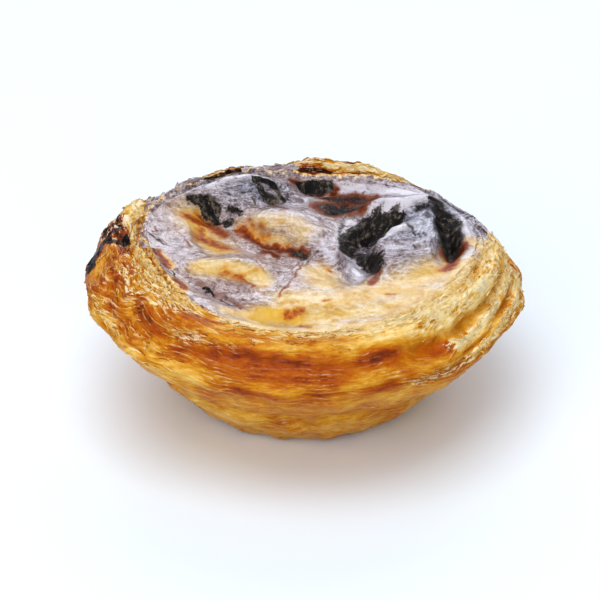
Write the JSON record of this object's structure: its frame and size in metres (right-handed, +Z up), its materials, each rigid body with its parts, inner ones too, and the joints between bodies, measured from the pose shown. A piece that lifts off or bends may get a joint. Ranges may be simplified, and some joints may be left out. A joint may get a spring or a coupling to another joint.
{
  "type": "custard tart",
  "caption": "Round baked tart: a flared cup of flaky laminated pastry with a rolled rim, filled to the lip with scorched, blistered custard.",
  "frame": {"origin": "centre of the flat round foot that the tart stands on", "axes": "+Z up through the custard, -Y towards the front, +X to the right"},
  "size_m": [0.0804, 0.0788, 0.0313],
  "materials": {
    "pastry": "baked golden brown, flaky, with a slight butter sheen",
    "custard": "smooth glossy skin, cream to scorched black"
  },
  "bodies": {
    "root": {"pastry_shell": "pastry", "custard": "custard"}
  },
  "joints": []
}
